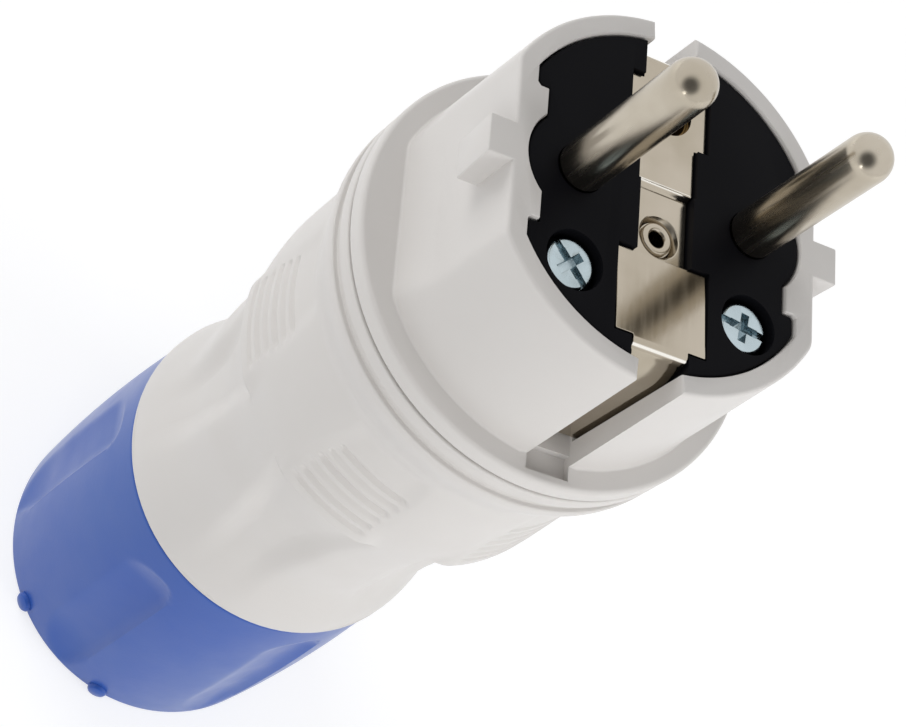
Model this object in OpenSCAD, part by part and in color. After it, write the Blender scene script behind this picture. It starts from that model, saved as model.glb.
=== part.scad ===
// Rewirable earthed two-pin mains plug with a cable gland.
// It stands on the end of its gland nut, with the pins pointing up.
// Millimetres. Origin: centre of the nut's end face. +Z: along the plug's axis, towards the pins.
// +X: from the live pin towards the neutral pin. +Y: towards the hole for the socket's earth pin.

/* [Pins] */
// Radius of each contact pin
pin_radius = 2.4; // [2:0.05:2.45]
// Length of each pin in front of the rim
pin_length = 19; // [17:0.5:20]
// Distance between the two pins
pin_spacing = 19; // [18.6:0.1:19.4]

/* [Head] */
// Height of the head's rim above the nut's end
rim_height = 111.5; // [106:0.5:117]
// Radius of the head at its rim
rim_radius = 19.2; // [18.8:0.1:19.4]
// Radius of the head where it meets the flange
root_radius = 19.7; // [19.4:0.1:20.0]
// Length of the head from rim to flange
head_length = 18.3; // [18:0.1:19]
// Half width across the side flats at the rim
flat_half = 16.8; // [16.5:0.1:17.0]
// Half width of the earth slots
slot_half = 2.35; // [2.1:0.05:2.8]
// Radius of the flange
flange_radius = 22.15; // [21.8:0.05:22.6]

/* [Contact carrier] */
// Radius of the black insert
carrier_radius = 17.05; // [16.9:0.05:17.2]
// Radius of the insert's lobe round each pin
lobe_radius = 5.55; // [5.4:0.05:5.7]
// Distance of the face screws from the two centre planes
screw_offset = 9.5; // [9.3:0.1:9.6]
// Distance of the earth-pin hole from the pins' line
earth_offset = 10.3; // [10:0.1:10.6]

/* [Handle] */
// Radius of the smooth ridges between the finger pads
ridge_radius = 20.3; // [20:0.1:20.6]
// Radius of the finger pads at their deepest
pad_low_radius = 19.95; // [19.6:0.05:20.1]
// Radius of the finger pads at their raised rear edge
pad_high_radius = 20.4; // [20.1:0.1:20.6]
// Radius of the waist behind each pad
waist_radius = 16.5; // [16.3:0.1:17.0]
// Radius of the round collar at the nut
collar_radius = 19.1; // [19:0.1:19.3]
// Number of grip grooves on a pad
grip_count = 6; // [3:1:6]

/* [Gland] */
// Length of the gland nut
nut_length = 34.5; // [33:0.5:36]
// Largest radius of the gland nut
nut_radius = 19.6; // [19.3:0.1:19.8]
// Number of flutes round the nut
flute_count = 6; // [4:1:8]
// Outer radius of the threaded spigot
thread_radius = 16.6; // [16.4:0.05:16.7]
// Radius of the nut's cable opening
entry_radius = 8.2; // [7.5:0.1:8.5]
// Bore of the rubber cable seal
seal_bore = 6.0; // [5.5:0.1:7]

/* [Hidden] */
$fn = 64;
H = rim_height;
pin_x = pin_spacing / 2;
flange_z = H - head_length;
flange_low = H - 20.5;
lip_z = H - 20.85;
ledge_z = H - 18.0;
base = nut_length - 33;
collar_z = nut_length + 0.3;
spigot_z = base + 15;
pad_half = 20;
pad_turn = 2;
sheet = 0.7;
strap_y = 15.9;
strap_top = H - 0.8;
strap_low = H - 1.4;
plate_top = H - 0.7;
rivet_y = -3.2;
term_z = H - 38;
shank_radius = 2.7;

function ease(t) = t * t * (3 - 2 * t);
// Smooth run through stations of [radius, height, steps to the next station].
function path(st) = concat(
    [for (i = [0 : len(st) - 2]) for (k = [0 : st[i][2] - 1])
        [st[i][0] + (st[i + 1][0] - st[i][0]) * ease(k / st[i][2]),
            st[i][1] + (st[i + 1][1] - st[i][1]) * k / st[i][2]]],
    [[st[len(st) - 1][0], st[len(st) - 1][1]]]);
function arc(cx, cy, r, a0, a1, n) = [for (i = [0 : n]) let (a = a0 + (a1 - a0) * i / n)
    [cx + r * cos(a), cy + r * sin(a)]];

// Outline of the black insert: two side lobes round the pins, stepped sides, round top and bottom.
module carrier_outline(g) {
    difference() {
        intersection() {
            circle(r = carrier_radius + g);
            square([2 * (14.55 + g), 60], center = true);
        }
        for (s = [-1, 1])
            translate([s * (23.35 + g), 0])
                square([20, 2 * (7.0 - g)], center = true);
    }
    for (s = [-1, 1])
        translate([s * pin_x, 0])
            circle(r = lobe_radius + g);
}

module front_shell() {
    color([0.84, 0.82, 0.80])
    difference() {
        union() {
            difference() {
                rotate_extrude($fn = 96)
                    polygon(concat(
                        [[0, H - 23.5], [18.6, H - 23.5], [18.6, flange_low]],
                        arc(flange_radius - 0.4, flange_low + 0.4, 0.4, -90, 0, 3),
                        arc(flange_radius - 0.6, flange_z - 0.6, 0.6, 0, 90, 4),
                        [[root_radius + 0.25, flange_z], [root_radius, flange_z + 0.25]],
                        arc(rim_radius - 0.3, H - 0.3, 0.3, 5, 90, 3),
                        [[0, H]]));
                // side flats, with a slightly flared foot
                for (s = [-1, 1])
                    scale([s, 1, 1])
                        rotate([90, 0, 0])
                            linear_extrude(height = 60, center = true)
                                polygon([[flat_half, H + 1], [flat_half, H], [flat_half + 0.35, H - 12.3],
                                    [flat_half + 1.1, flange_z], [30, flange_z], [30, H + 1]]);
            }
            // guide tabs
            for (s = [-1, 1])
                scale([s, 1, 1])
                    rotate([90, 0, 0])
                        linear_extrude(height = 4.7, center = true)
                            polygon([[16, H - 0.5], [19.1, H - 0.5], [19.35, H - 0.8], [19.35, H - 1.6],
                                [17.0, H - 9.8], [16, H - 9.8]]);
        }
        translate([0, 0, ledge_z])
            linear_extrude(height = 30)
                carrier_outline(0.15);
        translate([0, 0, H - 30])
            cylinder(r = 15.6, h = 20);
        // earth slots and the shallow pockets at their feet
        for (s = [-1, 1])
            scale([1, s, 1]) {
                translate([-slot_half, 14, flange_z])
                    cube([2 * slot_half, 12, 40]);
                translate([-slot_half, 18.5, flange_z - 0.9])
                    cube([2 * slot_half, 2.6, 2]);
            }
    }
}

module body_seal() {
    color([0.62, 0.61, 0.60])
    rotate_extrude($fn = 96)
        polygon([[18.85, H - 21.6], [20.9, H - 21.6], [20.9, lip_z + 0.03], [21.4, lip_z + 0.03],
            [21.4, flange_low], [18.85, flange_low]]);
}

// Radii of the handle's outer surface along a ridge, on a finger pad and in the scoop behind it.
ridge = path([[flange_radius, H - 24.3, 3], [ridge_radius, H - 31, 1], [ridge_radius, H - 41, 4],
    [waist_radius + 1.6, H - 58, 2], [waist_radius + 1.1, H - 66, 3], [collar_radius, H - 76.2, 0]]);
pad = concat(
    path([[23.4, H - 24.2, 4], [pad_low_radius, H - 32, 4], [pad_high_radius, H - 46.3, 0]]),
    [[pad_high_radius - 0.05, H - 46.9], [pad_high_radius - 0.3, H - 47.3], [18.6, H - 47.4]]);
scoop = path([[18.6, H - 47.4, 3], [waist_radius, H - 60, 1], [waist_radius, H - 64, 4],
    [collar_radius - 0.15, H - 76, 0]]);

module outer_skin() {
    rotate_extrude()
        polygon(concat(
            [[0, lip_z], [0, spigot_z], [thread_radius - 0.8, spigot_z], [thread_radius, spigot_z + 0.8],
                [thread_radius, collar_z]],
            arc(collar_radius - 0.5, collar_z + 0.5, 0.5, -90, 0, 3),
            [for (i = [len(ridge) - 1 : -1 : 0]) ridge[i]],
            [[21.6, H - 23.8], [21.6, H - 22.8], [flange_radius, H - 22.5], [flange_radius, lip_z - 0.2],
                [flange_radius - 0.2, lip_z]]));
}

// Raised rear edge of one finger pad, before the pad's own surface is cut.
module pad_lip() {
    rotate([0, 0, -pad_half + 0.3])
        rotate_extrude(angle = 2 * pad_half - 0.6)
            polygon([[17, H - 39], [pad_high_radius + 0.3, H - 39], [pad_high_radius + 0.3, H - 47.6], [17, H - 47.6]]);
}

module pad_cutter() {
    rotate([0, 0, -pad_half])
        rotate_extrude(angle = 2 * pad_half)
            polygon(concat(pad, [[24, H - 47.4], [24, H - 24.2]]));
    rotate([0, 0, -14])
        rotate_extrude(angle = 28)
            polygon(concat(scoop, [[24, H - 76], [24, H - 47.4]]));
}

function groove_z(k) = H - 36.2 - k * 1.75;
function pad_r(z) = pad_low_radius + (pad_high_radius - pad_low_radius) * ease((H - 32 - z) / 14.3);

// Comb that sinks the grip grooves into one pad.
module groove_cutter() {
    rotate([0, 0, -13.5])
        rotate_extrude(angle = 27)
            polygon(concat(
                [[22, groove_z(-0.5)]],
                [for (k = [0 : grip_count - 1]) let (z = groove_z(k), r = pad_r(z))
                    each [[r + 0.35, z + 0.6], [r - 0.25, z + 0.3], [r - 0.25, z - 0.3], [r + 0.35, z - 0.6]]],
                [[22, groove_z(grip_count - 0.5)]]));
}

module handle() {
    color([0.84, 0.82, 0.80])
    difference() {
        union() {
            outer_skin();
            for (i = [0 : 5])
                rotate([0, 0, pad_turn + i * 60])
                    pad_lip();
        }
        for (i = [0 : 5])
            rotate([0, 0, pad_turn + i * 60])
                pad_cutter();
        for (i = [0 : 5])
            rotate([0, 0, pad_turn + i * 60])
                groove_cutter();
        // seat of the body seal, mouth for the head's spigot
        translate([0, 0, H - 21.65])
            cylinder(r = 21.0, h = 10);
        translate([0, 0, H - 24])
            cylinder(r = 18.8, h = 10);
        // wire chamber with its two screw posts
        difference() {
            rotate_extrude()
                polygon([[0, H - 20], [16.6, H - 20], [16.6, H - 46], [14.7, H - 54], [14.7, H - 64],
                    [13.4, H - 72], [10.2, base + 33], [10.2, base + 30], [0, base + 30]]);
            for (s = [-1, 1])
                translate([s * screw_offset, -screw_offset, H - 46])
                    cylinder(r = 3.4, h = 19.95);
        }
        // seat of the cable seal
        translate([0, 0, base + 10])
            cylinder(r = 12.6, h = 21);
        for (s = [-1, 1])
            translate([s * screw_offset, -screw_offset, 0]) {
                translate([0, 0, H - 34])
                    cylinder(r = 2.35, h = 10);
                translate([0, 0, H - 41])
                    cylinder(r = 1.8, h = 12);
            }
    }
}

// Plan shapes of the two earth pressings.
module strap_plan(g) {
    translate([-2.9 - g, 12])
        square([2 * (2.9 + g), 4.2]);
    translate([-4.3 - g, 6.9 - g])
        square([2 * (4.3 + g), 6.0 + 2 * g]);
    translate([-3.05 - g, 1.6])
        square([2 * (3.05 + g), 8]);
}

module plate_plan(g) {
    translate([-4.85 - g, -14.65 - g])
        square([2 * (4.85 + g), 8.7 + 2 * g]);
    translate([-2.95 - g, -16.2])
        square([2 * (2.95 + g), 4]);
}

module contact_carrier() {
    color([0.08, 0.08, 0.09])
    difference() {
        union() {
            translate([0, 0, ledge_z])
                linear_extrude(height = 17.7)
                    carrier_outline(0);
            translate([0, 0, H - 26])
                cylinder(r = 15.4, h = 9);
            // barriers between the wire terminals
            for (a = [-150, -30, 90 + 28, 90 - 28])
                rotate([0, 0, a])
                    translate([3.4, -0.7, H - 39])
                        cube([a < 0 ? 6.8 : 10.5, 1.4, 14]);
            translate([0, 0, H - 39])
                cylinder(r = 4.2, h = 14);
        }
        // seats of the earth pressings
        translate([0, 0, strap_top - sheet - 0.05])
            linear_extrude(height = 5)
                strap_plan(0.15);
        translate([-3.0, -8, strap_low - sheet - 0.05])
            cube([6.0, 10.35, 5]);
        translate([0, 0, strap_low - 0.05])
            linear_extrude(height = 5)
                plate_plan(0.15);
        translate([0, rivet_y, H - 8])
            cylinder(r = 2.65, h = 10);
        for (s = [-1, 1])
            translate([-3.05, s > 0 ? strap_y - sheet - 0.05 : -strap_y + sheet + 0.05 - 6, ledge_z - 1])
                cube([6.1, 6, 30]);
        // pins, earth contact and screws
        for (s = [-1, 1])
            translate([s * pin_x, 0, 0]) {
                cylinder(r = pin_radius + 0.05, h = H + 5);
                cylinder(r = shank_radius + 0.05, h = H - 2.35);
                translate([0, 0, H - 60])
                    cylinder(r = 3.55, h = 41.05);
            }
        translate([0, earth_offset, 0]) {
            translate([0, 0, H - 60])
                cylinder(r = 4.5, h = 42.1);
            translate([0, 0, H - 30])
                cylinder(r = 4.1, h = 27);
            cylinder(r = 3.5, h = H + 5);
        }
        for (s = [-1, 1])
            translate([s * screw_offset, -screw_offset, 0]) {
                cylinder(r = 1.7, h = H + 5);
                translate([0, 0, H - 2.5])
                    cylinder(r = 3.0, h = 10);
            }
    }
}

module pin(x) {
    s = x > 0 ? 1 : -1;
    color([0.80, 0.78, 0.74])
    translate([x, 0, 0])
    difference() {
        union() {
            cylinder(r = pin_radius - 0.2, h = H);
            translate([0, 0, H - 0.1])
                cylinder(r = pin_radius, h = 0.1 + pin_length - pin_radius);
            cylinder(r = shank_radius, h = H - 2.4);
            translate([0, 0, H + pin_length - pin_radius])
                sphere(r = pin_radius);
            translate([0, 0, term_z])
                cylinder(r = 3.5, h = 19);
        }
        translate([0, 0, -1])
            cylinder(r = 8, h = term_z + 1);
        translate([0, 0, term_z - 1])
            cylinder(r = 1.7, h = 12);
        translate([0, 0, term_z + 5])
            rotate([0, s * 90, 0])
                cylinder(r = 1.45, h = 6);
    }
}

module live_pin() {
    pin(-pin_x);
}

module neutral_pin() {
    pin(pin_x);
}

// One wire clamp screw, its tip at the origin and its head out along +X.
module clamp_screw() {
    difference() {
        union() {
            rotate([0, 90, 0])
                cylinder(r = 1.4, h = 4.2);
            translate([3.2, 0, 0])
                rotate([0, 90, 0])
                    cylinder(r = 2.3, h = 1.5);
        }
        translate([4.0, -0.35, -3])
            cube([2, 0.7, 6]);
    }
}

module terminal_screws() {
    color([0.74, 0.77, 0.80]) {
        for (s = [-1, 1])
            translate([s * (pin_x + 0.4), 0, term_z + 5])
                rotate([0, 0, s > 0 ? 0 : 180])
                    clamp_screw();
        translate([0, earth_offset + 0.4, term_z + 5])
            rotate([0, 0, 90])
                clamp_screw();
    }
}

// Side profile of a pressing's bend: it runs in along the face and turns down the side.
module bend_profile(top) {
    r = 0.95;
    translate([strap_y - sheet, ledge_z + 0.1])
        square([sheet, top - r - ledge_z - 0.1]);
    translate([0, top - sheet])
        square([strap_y - r, sheet]);
    translate([strap_y - r, top - r])
        difference() {
            intersection() {
                circle(r = r);
                square([2, 2]);
            }
            circle(r = r - sheet);
        }
}

module sideways(w) {
    rotate([90, 0, 90])
        linear_extrude(height = w, center = true)
            children();
}

module earth_strap_upper() {
    color([0.80, 0.78, 0.73])
    difference() {
        union() {
            sideways(5.8)
                intersection() {
                    bend_profile(strap_top);
                    translate([9, 0])
                        square([20, 200]);
                }
            translate([-4.3, 6.9, strap_top - sheet])
                cube([8.6, 6.0, sheet]);
            translate([-3.05, 1.9, strap_top - sheet])
                cube([6.1, 6, sheet]);
            // joggle
            sideways(5.9)
                polygon([[2.2, strap_top], [1.9, strap_top], [1.3, strap_low], [1.0, strap_low],
                    [1.0, strap_low - sheet], [1.6, strap_low - sheet], [2.2, strap_top - sheet]]);
            translate([-2.85, -7.6, strap_low - sheet])
                cube([5.7, 8.9, sheet]);
            // dimple for the rivet
            translate([0, rivet_y, strap_low - 1.35])
                cylinder(r = 2.5, h = 1.3);
        }
        translate([0, earth_offset, H - 4])
            cylinder(r = 2.6, h = 6);
        translate([0, rivet_y, strap_low - 0.75])
            cylinder(r1 = 1.75, r2 = 2.2, h = 0.76);
        translate([0, rivet_y, H - 6])
            cylinder(r = 1.2, h = 6);
    }
}

module earth_strip_lower() {
    color([0.80, 0.78, 0.73])
    union() {
        scale([1, -1, 1])
            sideways(5.9)
                intersection() {
                    bend_profile(plate_top);
                    translate([13, 0])
                        square([20, 200]);
                }
        translate([-4.85, -14.65, plate_top - sheet])
            cube([9.7, 8.7, sheet]);
    }
}

module earth_rivet() {
    color([0.82, 0.80, 0.76])
    translate([0, rivet_y, 0])
        rotate_extrude()
            polygon(concat(
                [[0.8, H - 7.6], [1.6, H - 7.6], [1.6, H - 7.2], [1.15, H - 7.0],
                    [1.15, strap_low - 0.74]],
                arc(1.4, strap_low - 0.5, 0.24, -90, 90, 6),
                arc(1.15, strap_low - 0.61, 0.35, 90, 180, 4)));
}

module earth_socket() {
    color([0.80, 0.66, 0.38])
    translate([0, earth_offset, 0])
        difference() {
            union() {
                translate([0, 0, H - 20])
                    cylinder(r = 3.4, h = 18.4);
                translate([0, 0, H - 20])
                    cylinder(r = 4.4, h = 2);
            }
            translate([0, 0, H - 17])
                cylinder(r = 2.45, h = 20);
            translate([0, 0, H - 22])
                cylinder(r = 1.5, h = 8);
            translate([-0.35, -6, H - 15])
                cube([0.7, 12, 20]);
        }
}

module socket_spring() {
    color([0.75, 0.76, 0.78])
    translate([0, earth_offset, H - 6])
        difference() {
            cylinder(r = 3.95, h = 1.6);
            translate([0, 0, -1])
                cylinder(r = 3.45, h = 4);
            translate([0, -0.5, -1])
                cube([6, 1, 4]);
        }
}

module earth_terminal() {
    color([0.80, 0.66, 0.38])
    translate([0, earth_offset, 0])
        difference() {
            union() {
                translate([0, 0, term_z])
                    cylinder(r = 3.5, h = 17.9);
                translate([0, 0, H - 20.2])
                    cylinder(r = 1.45, h = 3);
            }
            translate([0, 0, term_z - 1])
                cylinder(r = 1.7, h = 12);
            translate([0, 0, term_z + 5])
                rotate([-90, 0, 0])
                    cylinder(r = 1.45, h = 6);
        }
}

module face_screw(turn) {
    difference() {
        union() {
            translate([0, 0, H - 35])
                cylinder(r = 1.5, h = 33);
            translate([0, 0, H - 2.45])
                cylinder(r = 2.5, h = 1.15);
            translate([0, 0, H - 1.3])
                cylinder(r1 = 2.5, r2 = 2.25, h = 0.25);
        }
        rotate([0, 0, turn]) {
            translate([-3, -0.35, H - 1.75])
                cube([6, 0.7, 2]);
            translate([-0.4, -1.5, H - 2.2])
                cube([0.8, 3.0, 2]);
            translate([-1.5, -0.4, H - 2.2])
                cube([3.0, 0.8, 2]);
        }
    }
}

module face_screws() {
    color([0.78, 0.83, 0.87]) {
        translate([-screw_offset, -screw_offset, 0])
            face_screw(132);
        translate([screw_offset, -screw_offset, 0])
            face_screw(-8);
    }
}

module post_inserts() {
    color([0.80, 0.66, 0.38])
    for (s = [-1, 1])
        translate([s * screw_offset, -screw_offset, H - 33.9])
            difference() {
                cylinder(r = 2.3, h = 7.7);
                translate([0, 0, -1])
                    cylinder(r = 1.55, h = 10);
            }
}

module gland_seal() {
    color([0.13, 0.13, 0.14])
    translate([0, 0, base])
        rotate_extrude()
            polygon([[seal_bore + 1.2, 18.0], [12.4, 18.0], [12.4, 30.9], [seal_bore + 2.0, 30.9],
                [seal_bore + 0.6, 28.5], [seal_bore, 27], [seal_bore + 0.5, 25.5], [seal_bore, 24],
                [seal_bore + 0.5, 22.5], [seal_bore, 21]]);
}

module seal_washer() {
    color([0.70, 0.70, 0.68])
    translate([0, 0, base + 17.2])
        difference() {
            cylinder(r = 12.4, h = 0.75);
            translate([0, 0, -1])
                cylinder(r = seal_bore + 1.5, h = 3);
        }
}

module clamp_cage() {
    color([0.88, 0.88, 0.86])
    translate([0, 0, base])
    difference() {
        rotate_extrude()
            polygon([[10.6, 17.15], [12.4, 17.15], [12.4, 14.9], [15.6, 14.9], [15.6, 13.7],
                [13.0, 13.7], [10.2, 4.6], [7.6, 4.6], [10.2, 13.0]]);
        for (i = [0 : 3])
            rotate([0, 0, i * 45 + 12])
                translate([-20, -0.6, 3])
                    cube([40, 1.2, 10.2]);
    }
}

module thrust_ring() {
    color([0.90, 0.90, 0.88])
    translate([0, 0, base + 12.3])
        difference() {
            cylinder(r = 16.3, h = 1.1);
            translate([0, 0, -1])
                cylinder(r = 13.6, h = 3);
        }
}

module gland_nut() {
    color([0.20, 0.30, 0.62])
    difference() {
        union() {
            rotate_extrude($fn = 96)
                polygon(concat(
                    [[0, 0]],
                    arc(nut_radius - 1.06, 0.8, 0.8, -90, 0, 3),
                    [for (k = [0 : 10]) let (z = 1.5 + k * (nut_length - 1.9) / 10)
                        [nut_radius - 0.72 * pow((z - 13.5) / 20, 2), z]],
                    [[nut_radius - 1.1, nut_length], [0, nut_length]]));
            // end nubs
            for (a = [211, 254, 31, 74])
                rotate([0, 0, a])
                    translate([16, 0, 1.3])
                        rotate([0, 90, 0])
                            cylinder(r = 1.25, h = 4.1);
        }
        // thread room, ring seat, cone over the clamp fingers and cable opening
        translate([0, 0, base + 12.2])
            cylinder(r = thread_radius + 0.05, h = 40);
        translate([0, 0, base + 4.2])
            cylinder(r1 = 11.0, r2 = 14.4, h = 8.1);
        translate([0, 0, -1])
            cylinder(r = entry_radius, h = base + 7);
        cylinder(r1 = entry_radius + 1.2, r2 = entry_radius, h = 1.2);
        // flutes
        for (i = [0 : flute_count - 1])
            rotate([0, 0, 172.5 + i * 360 / flute_count])
                translate([nut_radius + 9 - 0.75, 0, 0]) {
                    translate([0, 0, -1])
                        cylinder(r = 9, h = base + 28.5);
                    translate([0, 0, base + 27.5])
                        sphere(r = 9);
                }
    }
}

front_shell();
body_seal();
handle();
contact_carrier();
live_pin();
neutral_pin();
terminal_screws();
earth_strap_upper();
earth_strip_lower();
earth_rivet();
earth_socket();
earth_terminal();
socket_spring();
face_screws();
post_inserts();
gland_seal();
seal_washer();
clamp_cage();
thrust_ring();
gland_nut();
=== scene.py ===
import math

import bmesh
import bpy
from mathutils import Matrix, Vector


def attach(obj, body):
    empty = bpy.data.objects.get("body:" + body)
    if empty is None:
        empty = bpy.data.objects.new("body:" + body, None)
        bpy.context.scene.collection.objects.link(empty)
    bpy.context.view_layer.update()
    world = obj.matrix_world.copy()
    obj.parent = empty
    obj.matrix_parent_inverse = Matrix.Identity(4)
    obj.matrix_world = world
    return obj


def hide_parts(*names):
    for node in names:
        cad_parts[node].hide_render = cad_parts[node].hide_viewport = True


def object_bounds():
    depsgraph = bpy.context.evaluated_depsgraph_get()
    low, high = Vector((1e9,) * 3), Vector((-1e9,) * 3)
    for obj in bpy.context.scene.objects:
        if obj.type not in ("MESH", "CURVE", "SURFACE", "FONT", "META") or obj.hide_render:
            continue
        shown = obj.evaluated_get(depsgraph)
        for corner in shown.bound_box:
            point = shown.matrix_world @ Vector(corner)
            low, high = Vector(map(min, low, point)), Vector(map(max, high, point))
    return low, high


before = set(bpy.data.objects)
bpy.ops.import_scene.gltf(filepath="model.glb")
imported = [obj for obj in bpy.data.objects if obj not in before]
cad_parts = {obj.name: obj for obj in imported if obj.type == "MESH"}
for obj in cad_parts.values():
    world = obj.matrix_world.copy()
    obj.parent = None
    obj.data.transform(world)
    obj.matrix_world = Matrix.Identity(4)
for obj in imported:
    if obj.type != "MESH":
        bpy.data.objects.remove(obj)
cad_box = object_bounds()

# ---------------------------------------------------------------------------------------------
# Studio: a white table and a white surround with a darker room in front of the work, lit by
# three broad lamps, at the left, the right and the front, and by one small lamp that gives
# the metal its spark. The camera looks down on the plug's face.
# ---------------------------------------------------------------------------------------------
MM = 0.001
WORLD_FILL = 0.44
ROOM_DARK = 0.14
ROOM_EDGE, ROOM_CORE = 0.66, 0.96
ROOM_SIDE = Vector((-0.46, -0.58, 0.64))
CAMERA_PLACE = Vector((-111.47, -121.33, 277.11)) * MM
CAMERA_RIGHT = Vector((0.85454548, 0.07849613, 0.51341054))
CAMERA_DOWN = Vector((0.29686198, -0.88494503, -0.35881091))
CAMERA_AHEAD = Vector((0.42617483, 0.45903231, -0.77952829))
CAMERA_LENS = 100.72
CAMERA_SENSOR = 36.0
TABLE_HALF = 3.0
TABLE_GLOW = 0.68
LAMP_AIM = (0, 0, 0.07)


def add_node(tree, kind, inputs=None, **settings):
    """A node with its settings, its plain input values and its links in one call."""
    made = tree.nodes.new(kind)
    for name, value in settings.items():
        setattr(made, name, value)
    for key, value in (inputs or {}).items():
        if isinstance(value, bpy.types.NodeSocket):
            tree.links.new(value, made.inputs[key])
        else:
            made.inputs[key].default_value = value
    return made


def calc(tree, operation, *values, clamp=False):
    """A Math node's output."""
    given = dict(enumerate(values))
    return add_node(tree, "ShaderNodeMath", given, operation=operation, use_clamp=clamp).outputs[0]


def seen_directly(tree):
    """1 for camera, mirror and glass rays, 0 for light that only brightens other surfaces."""
    path = tree.nodes.new("ShaderNodeLightPath")
    some = calc(tree, "MAXIMUM", path.outputs["Is Camera Ray"], path.outputs["Is Glossy Ray"])
    return calc(tree, "MAXIMUM", some, path.outputs["Is Transmission Ray"]), path


def build_world():
    world = bpy.data.worlds.new("studio")
    world.use_nodes = True
    tree = world.node_tree
    tree.nodes.clear()
    where = add_node(tree, "ShaderNodeTexCoord")
    facing = add_node(tree, "ShaderNodeVectorMath", {0: where.outputs["Generated"],
        1: ROOM_SIDE.normalized()}, operation="DOT_PRODUCT")
    room = add_node(tree, "ShaderNodeMapRange", {"Value": facing.outputs["Value"], "From Min": ROOM_EDGE,
        "From Max": ROOM_CORE, "To Min": 1.0, "To Max": ROOM_DARK}, interpolation_type="SMOOTHSTEP")
    seen, path = seen_directly(tree)
    open_white = calc(tree, "MAXIMUM", path.outputs["Is Camera Ray"], room.outputs["Result"])
    level = add_node(tree, "ShaderNodeMix", {0: seen, 2: WORLD_FILL, 3: open_white})
    shade = add_node(tree, "ShaderNodeBackground", {"Color": (1, 1, 1, 1), "Strength": level.outputs[0]})
    out = add_node(tree, "ShaderNodeOutputWorld")
    tree.links.new(shade.outputs[0], out.inputs[0])
    bpy.context.scene.world = world


def build_table():
    material = bpy.data.materials.new("white_table")
    material.use_nodes = True
    tree = material.node_tree
    tree.nodes.clear()
    seen, _ = seen_directly(tree)
    bounce = add_node(tree, "ShaderNodeBsdfDiffuse", {"Color": (0.82, 0.82, 0.82, 1.0)})
    shadow = add_node(tree, "ShaderNodeBsdfDiffuse", {"Color": (0.45, 0.45, 0.45, 1.0)})
    glow = add_node(tree, "ShaderNodeEmission", {"Color": (1, 1, 1, 1), "Strength": TABLE_GLOW})
    pale = add_node(tree, "ShaderNodeAddShader", {0: shadow.outputs[0], 1: glow.outputs[0]})
    both = add_node(tree, "ShaderNodeMixShader", {0: seen, 1: bounce.outputs[0], 2: pale.outputs[0]})
    out = add_node(tree, "ShaderNodeOutputMaterial")
    tree.links.new(both.outputs[0], out.inputs["Surface"])
    mesh = bpy.data.meshes.new("table")
    corners = [(x * TABLE_HALF, y * TABLE_HALF, 0) for x, y in ((-1, -1), (1, -1), (1, 1), (-1, 1))]
    mesh.from_pydata(corners, [], [(0, 1, 2, 3)])
    mesh.materials.append(material)
    table = bpy.data.objects.new("table", mesh)
    bpy.context.scene.collection.objects.link(table)


def add_lamp(name, place, aim, size, watts, mirrored_in_gloss=True):
    lamp = bpy.data.lights.new(name, "AREA")
    lamp.shape = "SQUARE"
    lamp.size = size
    lamp.energy = watts
    holder = bpy.data.objects.new(name, lamp)
    holder.location = place
    holder.rotation_mode = "QUATERNION"
    holder.rotation_quaternion = (Vector(aim) - Vector(place)).to_track_quat("-Z", "Y")
    holder.visible_glossy = mirrored_in_gloss
    bpy.context.scene.collection.objects.link(holder)


def build_camera():
    camera = bpy.data.cameras.new("camera")
    camera.lens = CAMERA_LENS
    camera.sensor_width = CAMERA_SENSOR
    camera.sensor_fit = "HORIZONTAL"
    camera.clip_start = 0.01
    camera.clip_end = 20.0
    holder = bpy.data.objects.new("camera", camera)
    turn = Matrix((CAMERA_RIGHT, -CAMERA_DOWN, -CAMERA_AHEAD)).transposed()
    holder.matrix_world = Matrix.Translation(CAMERA_PLACE) @ turn.to_4x4()
    bpy.context.scene.collection.objects.link(holder)
    bpy.context.scene.camera = holder


bpy.context.scene.view_settings.view_transform = "Standard"
build_world()
build_table()
add_lamp("left_lamp", (-0.44, 0.66, 0.26), LAMP_AIM, 0.5, 3.3, False)
add_lamp("right_lamp", (0.60, -0.46, 0.26), LAMP_AIM, 0.5, 2.7, False)
add_lamp("front_lamp", (-0.50, -0.72, 0.34), LAMP_AIM, 0.6, 2.7, False)
add_lamp("catch_lamp", (-0.51, -0.80, 0.16), (0, 0, 0.12), 0.10, 0.25)
build_camera()

# ---------------------------------------------------------------------------------------------
# Grip handle: one moulded piece in warm light grey plastic. Six finger pads are sunk between
# smooth ridges, each with shallow grip grooves, and below the collar a threaded spigot takes
# the gland nut. It is screwed to the head from the front.
# ---------------------------------------------------------------------------------------------
PIN_LENGTH = 19.0
RIM = round(cad_box[1][2] / MM - PIN_LENGTH, 3)
PAD_COUNT = 6
PAD_TURN = 2.0
PAD_SUNK_TO = -38.0
PAD_COLUMNS = 24
EDGE_COLUMNS = 5
RIDGE_COLUMNS = 8
GROOVE_COUNT = 6
GROOVE_PITCH = 1.75
GROOVE_FIRST = -36.2
GROOVE_DEPTH = 0.40
GROOVE_REACH = 0.56
GROOVE_HALF = 13.0
THREAD_PITCH = 3.0
SPIGOT_RADIUS = 16.6
SPIGOT_DEPTH = 0.75
FLANGE_RADIUS = 22.15
COLLAR_RADIUS = 19.1
COLLAR_END = 34.8
SPIGOT_END = 16.5
HOUSING_COLOUR = (0.655, 0.632, 0.610)
HANDLE_LAYERS = ("pad", "groove", "thread", "half", "side")
RIDGE_STATIONS = [(FLANGE_RADIUS, -24.2), (20.3, -31.0), (20.3, -41.0), (18.1, -58.0), (17.6, -66.0),
    (COLLAR_RADIUS, -76.2)]
PAD_FRONT = [(23.4, -24.2), (19.95, -32.0), (20.4, -46.3)]
PAD_LIP = [(20.4, -46.3), (20.35, -46.9), (20.1, -47.3), (19.8, -47.38)]
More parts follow.
